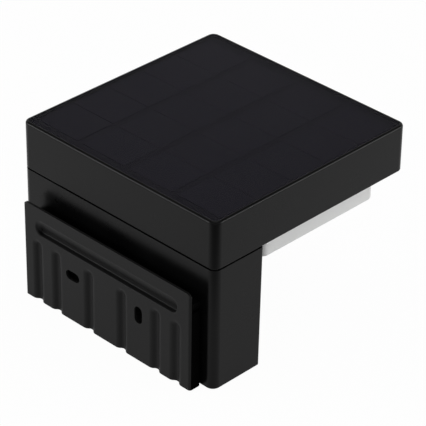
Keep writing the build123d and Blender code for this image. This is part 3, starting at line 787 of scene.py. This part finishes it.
def led_tree():
    tree, size = new_tree("LED array", {
        "Columns": "Int", "Rows": "Int", "Pitch X": "Float", "Pitch Y": "Float", "Place": "Vector",
        "Package": "Vector", "Pool radius": "Float", "Pool proud": "Float",
        "Package finish": "Material", "Phosphor": "Material",
    })
    package = add(tree, "GeometryNodeMeshCube", {"Size": size["Package"]})
    pool = add(tree, "GeometryNodeMeshCylinder", {
        "Vertices": POOL_SIDES, "Radius": size["Pool radius"], "Depth": size["Pool proud"],
    })
    height = add(tree, "ShaderNodeSeparateXYZ", {"Vector": size["Package"]}).outputs["Z"]
    underside = triple(tree, 0.0, 0.0, sums(tree, "MULTIPLY", height, -0.5))
    yellow = marked(tree, moved(tree, pool.outputs["Mesh"], underside), "pool")
    lamp = joined(tree, package.outputs["Mesh"], yellow)
    whole = realized(tree, on_grid(tree, lamp, size))
    painted(tree, whole, size["Package finish"], size["Phosphor"], "pool")
    print(tree.name, "has", len(tree.nodes), "nodes")
    return tree


# %% Lay the LEDs
leds_low, leds_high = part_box("leds")
LED_COLUMNS, LED_ROWS = 6, 4
LED_LENGTH, LED_WIDTH = 3.5 * MM, 2.8 * MM
POOL_RADIUS, POOL_PROUD = 1.1 * MM, 0.1 * MM
led_height = leds_high.z - leds_low.z - POOL_PROUD / 2
leds_middle = (leds_low + leds_high) / 2
led_array = bake("led_array", bpy.data.meshes.new("empty"), led_tree(), {
    "Columns": LED_COLUMNS, "Rows": LED_ROWS,
    "Pitch X": (leds_high.x - leds_low.x - LED_LENGTH) / (LED_COLUMNS - 1),
    "Pitch Y": (leds_high.y - leds_low.y - LED_WIDTH) / (LED_ROWS - 1),
    "Place": (leds_middle.x, leds_middle.y, leds_high.z - led_height / 2),
    "Package": (LED_LENGTH, LED_WIDTH, led_height),
    "Pool radius": POOL_RADIUS, "Pool proud": POOL_PROUD,
    "Package finish": white_laminate, "Phosphor": led_package,
})
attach(led_array, "lamp")
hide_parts("leds")

# %% [markdown]
# ## Screws
# CAD screws are plain mushrooms. A real pan-head screw has a cross recess and a thread, so one
# screw is turned from a profile, the cross is cut with two booleans, and a node tree puts copies
# on the CAD screws' places, each turned by its own angle as an assembler leaves them. The thread is
# a stack of rings. A true spiral would cost more faces, and no one could tell the two apart here.

# %% A screw's profile
DOME_STEPS, DOME_STEP = 7, math.radians(15)
DOME_BASE, DOME_RISE = 0.45, 0.55
THREAD_PITCH, CREST_END, ROOT_START = 0.8 * MM, 0.2 * MM, 0.6 * MM
PLAIN_END, TIP_LENGTH = 1.2 * MM, 0.5 * MM
ROOT_SHARE, TIP_SHARE = 0.8, 0.5


def screw_profile(head_radius, head_height, shank_radius, reach):
    """Half the screw's outline as radii and heights, from the top of the head to the tip."""
    angles = [step * DOME_STEP for step in range(DOME_STEPS)]
    profile = [
        (head_radius * math.sin(a), head_height * (DOME_BASE + DOME_RISE * math.cos(a))) for a in angles
    ]
    profile += [(head_radius, 0.0), (shank_radius, 0.0)]
    root = shank_radius * ROOT_SHARE
    for turn in range(int((reach - PLAIN_END) / THREAD_PITCH)):
        top = -turn * THREAD_PITCH
        profile += [(shank_radius, top - CREST_END), (root, top - ROOT_START)]
    return profile + [(root, -reach + TIP_LENGTH), (shank_radius * TIP_SHARE, -reach), (0.0, -reach)]


print("A thread turn takes", round(THREAD_PITCH / MM, 2), "mm")

# %% Turn the profile and cut the cross
LATHE_STEPS, WELD = 32, 1e-6
CROSS_LENGTH, CROSS_WIDTH = 1.15, 0.3
CROSS_TAPER, CROSS_HEIGHT = 0.6, 0.85


def turned(name, profile):
    """A mesh turned from a profile round the upright axis."""
    form = bmesh.new()
    rim = [form.verts.new((radius, 0.0, z)) for radius, z in profile]
    edges = [form.edges.new(pair) for pair in zip(rim, rim[1:])]
    spin = {"cent": (0, 0, 0), "axis": (0, 0, 1), "angle": math.tau, "steps": LATHE_STEPS}
    bmesh.ops.spin(form, geom=rim + edges, **spin)
    bmesh.ops.remove_doubles(form, verts=form.verts, dist=WELD)
    bmesh.ops.recalc_face_normals(form, faces=form.faces)
    mesh = bpy.data.meshes.new(name)
    form.to_mesh(mesh)
    form.free()
    return mesh


def cross_arm(length, width, head_height):
    """One arm of the cross recess as a block that narrows downwards."""
    form = bmesh.new()
    bmesh.ops.create_cube(form, size=1.0)
    for vert in form.verts:
        shrink = CROSS_TAPER if vert.co.z < 0 else 1.0
        height = vert.co.z * head_height + head_height * CROSS_HEIGHT
        vert.co = (vert.co.x * length * shrink, vert.co.y * width * shrink, height)
    mesh = bpy.data.meshes.new("cross")
    form.to_mesh(mesh)
    form.free()
    return in_scene("cross", mesh)


def pan_head_screw(name, head_radius, head_height, shank_radius, reach, upward):
    """A screw whose head seats at height 0, pointing up or down, with a cross recess."""
    body = in_scene(name, turned(name, screw_profile(head_radius, head_height, shank_radius, reach)))
    arms = []
    for length, width in ((CROSS_LENGTH, CROSS_WIDTH), (CROSS_WIDTH, CROSS_LENGTH)):
        arm = cross_arm(head_radius * length, head_radius * width, head_height)
        cut = body.modifiers.new("cross", "BOOLEAN")
        cut.object = arm
        cut.operation = "DIFFERENCE"
        arms.append(arm)
    done = plain_mesh(body)
    for spare in (body, *arms):
        bpy.data.objects.remove(spare)
    if upward:
        done.transform(Matrix.Rotation(math.pi, 4, "X"))
    print(name, "has", len(done.polygons), "faces")
    return done


# %% Screw tree
def screw_tree():
    tree, size = new_tree("Screws", {
        "Places": "Geometry", "Screw": "Object", "Turn seed": "Int", "Finish": "Material",
    })
    item = add(tree, "GeometryNodeObjectInfo", {"Object": size["Screw"], "As Instance": True})
    angle = triple(tree, 0.0, 0.0, random_number(tree, 0.0, math.tau, size["Turn seed"]))
    turn = add(tree, "FunctionNodeEulerToRotation", {"Euler": angle}).outputs["Rotation"]
    spread = copies(tree, size["Places"], item.outputs["Geometry"], Rotation=turn)
    add(tree, "NodeGroupOutput", {"Geometry": coated(tree, realized(tree, spread), size["Finish"])})
    print(tree.name, "has", len(tree.nodes), "nodes")
    return tree


# %% Put the screws in
LARGE_SCREW = {"head_radius": 2.1 * MM, "head_height": 1.3 * MM, "shank_radius": 1.2 * MM}
SMALL_SCREW = {"head_radius": 1.7 * MM, "head_height": 1.1 * MM, "shank_radius": 0.9 * MM}
TURN_SEED = 11


def screw_set(node, tree, upward, head_radius, head_height, shank_radius):
    """Detailed screws where the CAD node has its plain ones."""
    low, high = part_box(node)
    reach = high.z - low.z - head_height
    seat = low.z + head_height if upward else high.z - head_height
    corners = [(x, y, seat) for x in (low.x + head_radius, high.x - head_radius)
               for y in (low.y + head_radius, high.y - head_radius)]
    places = bpy.data.meshes.new(node + "_places")
    places.from_pydata(corners, [], [])
    form = pan_head_screw("one_screw", head_radius, head_height, shank_radius, reach, upward)
    model = in_scene("one_screw", form)
    values = {"Screw": model, "Turn seed": TURN_SEED, "Finish": screw_steel}
    detailed = bake(node + "_detail", places, tree, values)
    bpy.data.objects.remove(model)
    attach(detailed, "lamp")
    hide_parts(node)


screws = screw_tree()
screw_set("base_screws", screws, upward=True, **LARGE_SCREW)
screw_set("head_screws", screws, upward=False, **LARGE_SCREW)
screw_set("led_board_screws", screws, upward=False, **SMALL_SCREW)
screw_set("controller_screws", screws, upward=False, **SMALL_SCREW)

# %% [markdown]
# ## Studio floor
# The light stands on a white sweep. The floor looks white to the camera and to mirror-like rays,
# and still takes a soft shadow, because part of its white is ordinary diffuse paint. Mirror rays
# find it darker in two places: on the camera's side, where a real stand would block the light, and
# close to the light's foot. The black skin shows little else than what it mirrors, so these two
# places draw its rounded corner and shade the leg. Cards on stands could do the same, but they would
# cast shadows too. From below the floor is clear, so that the underside can be looked at.

# %% Floor finish
CAMERA_SIDE = (-0.7, 0.7, 0.0)
STAND_SHADE, STAND_REACH = 0.75, (0.07, 0.12)
FOOT_SHADE, FOOT_REACH, FOOT_SAMPLES = 0.45, 0.12, 4
GLOW_SHARE = 0.97


def seen_directly(tree):
    """1 for what the camera, a mirror or a glass sees, 0 for light on its way."""
    path = add(tree, "ShaderNodeLightPath").outputs
    shown = sums(tree, "MAXIMUM", path["Is Camera Ray"], path["Is Glossy Ray"])
    return sums(tree, "MAXIMUM", shown, path["Is Transmission Ray"])


def blend(tree, share, first, second):
    """Two shaders mixed by the second one's share."""
    return add(tree, "ShaderNodeMixShader", {"Fac": share, 1: first, 2: second}).outputs["Shader"]


def mirrored_shade(tree, place):
    """How much of the floor's white a mirror ray loses."""
    ahead = add(tree, "ShaderNodeVectorMath", {0: place, 1: CAMERA_SIDE}, operation="DOT_PRODUCT")
    stand = between(tree, ahead.outputs["Value"], 0.0, STAND_SHADE, *STAND_REACH)
    around = add(tree, "ShaderNodeAmbientOcclusion", {"Distance": FOOT_REACH}, samples=FOOT_SAMPLES)
    foot = between(tree, around.outputs["AO"], FOOT_SHADE, 0.0, start=0.0, end=1.0)
    mirror = add(tree, "ShaderNodeLightPath").outputs["Is Glossy Ray"]
    return sums(tree, "MULTIPLY", mirror, sums(tree, "MAXIMUM", stand, foot))


def sweep_finish():
    material, tree, skin, place = blank_finish("studio_sweep")
    paper = speckle(tree, place, size=400 * MM)
    set_skin(tree, skin, {
        "Base Color": tint(tree, paper, dark=(0.80, 0.80, 0.80), light=(0.82, 0.82, 0.82)),
        "Roughness": 0.9,
        SHINE: 0.0,
    })
    strength = sums(tree, "SUBTRACT", 1.0, mirrored_shade(tree, place))
    glow = add(tree, "ShaderNodeEmission", {"Strength": strength}).outputs["Emission"]
    share = sums(tree, "MULTIPLY", seen_directly(tree), GLOW_SHARE)
    above = blend(tree, share, skin.outputs["BSDF"], glow)
    clear = add(tree, "ShaderNodeBsdfTransparent").outputs["BSDF"]
    below = add(tree, "ShaderNodeNewGeometry").outputs["Backfacing"]
    output = next(n for n in tree.nodes if n.type == "OUTPUT_MATERIAL")
    fill(tree, output.inputs["Surface"], blend(tree, below, above, clear))
    print("Made", material.name)
    return material


# %% Lay the floor
FLOOR_HALF, FLOOR_GAP = 6.0, 0.2 * MM
floor_z = cad_box[0].z - FLOOR_GAP
signs = ((-1, -1), (1, -1), (1, 1), (-1, 1))
floor_mesh = bpy.data.meshes.new("studio_floor")
corners = [(x * FLOOR_HALF, y * FLOOR_HALF, floor_z) for x, y in signs]
floor_mesh.from_pydata(corners, [], [(0, 1, 2, 3)])
floor_mesh.materials.append(sweep_finish())
floor = in_scene("studio_floor", floor_mesh)
print("Floor at", round(floor_z / MM, 2), "mm")

# %% [markdown]
# ## Studio light
# The surroundings are white at eye level and fade to a dark ceiling, which is what the near edge of
# the panel mirrors. Two low soft boxes stand left and right of the light, so that its rounded top
# edges catch a thin bright line, and a large one hangs overhead. A photograph of a real studio could
# wrap the scene instead, but a fade and three boxes can each be set by one number.

# %% Surrounding light
WHITE = (1.0, 1.0, 1.0, 1.0)
SOFT_LIGHT, CEILING = 0.45, 0.1
FADE_START, FADE_END = 0.42, 0.68
world = bpy.data.worlds.new("studio")
bpy.context.scene.world = world
world.use_nodes = True
sky = world.node_tree
sky.nodes.clear()
gaze = add(sky, "ShaderNodeTexCoord").outputs["Generated"]
gaze_height = add(sky, "ShaderNodeSeparateXYZ", {"Vector": gaze}).outputs["Z"]
fade = between(sky, gaze_height, 1.0, CEILING, FADE_START, FADE_END)
soft, white = [
    add(sky, "ShaderNodeBackground", {"Color": WHITE, "Strength": strength}).outputs["Background"]
    for strength in (SOFT_LIGHT, fade)
]
add(sky, "ShaderNodeOutputWorld", {"Surface": blend(sky, seen_directly(sky), soft, white)})
print("World ready, with", len(sky.nodes), "nodes")

# %% Soft boxes
BOX_WATTS = 3.0
aim_point = (cad_box[0] + cad_box[1]) / 2


def soft_box(name, direction, distance, width, height):
    """An area light that faces the middle of the CAD model."""
    lamp = bpy.data.lights.new(name, "AREA")
    lamp.shape = "RECTANGLE"
    lamp.size = width
    lamp.size_y = height
    lamp.energy = BOX_WATTS
    stand = in_scene(name, lamp)
    away = Vector(direction).normalized()
    stand.location = aim_point + away * distance
    stand.rotation_euler = away.to_track_quat("Z", "Y").to_euler()
    print(name, "at", [round(v, 2) for v in stand.location])


soft_box("box_wall_side", direction=(0.60, 0.72, 0.22), distance=0.9, width=0.5, height=0.24)
soft_box("box_left_side", direction=(-0.72, -0.60, 0.22), distance=0.9, width=0.5, height=0.24)
soft_box("box_overhead", direction=(0.05, -0.05, 1.0), distance=1.1, width=0.9, height=0.9)

# %% [markdown]
# ## Camera
# The view is from the wall side, from above, through a long lens. A long lens keeps the edges
# nearly parallel. The aim, the two angles and the slight roll are measured from the edges of the
# light itself. A constraint could point the camera, but it would leave no room for the roll.

# %% Camera
AZIMUTH, ELEVATION, ROLL = math.radians(224.32), math.radians(32.19), math.radians(0.85)
AIM = Vector((-0.00498, -0.05063, 0.01571))
DISTANCE, LENS, SENSOR = 0.8966, 203.3, 36.0
NEAR_CLIP, FAR_CLIP = 0.05, 50.0
flat = math.cos(ELEVATION)
back = Vector((math.sin(AZIMUTH) * flat, -math.cos(AZIMUTH) * flat, math.sin(ELEVATION)))
level = Vector((0, 0, 1)).cross(back).normalized()
upright = back.cross(level)
across = level * math.cos(ROLL) + upright * math.sin(ROLL)
upward = upright * math.cos(ROLL) - level * math.sin(ROLL)
lens = bpy.data.cameras.new("camera")
lens.lens = LENS
lens.sensor_width = SENSOR
lens.clip_start = NEAR_CLIP
lens.clip_end = FAR_CLIP
camera = in_scene("camera", lens)
turn = Matrix((across, upward, back)).transposed()
camera.matrix_world = Matrix.Translation(AIM + back * DISTANCE) @ turn.to_4x4()
bpy.context.scene.camera = camera
bpy.context.scene.view_settings.view_transform = "Standard"
print("Camera at", [round(v, 3) for v in camera.location])
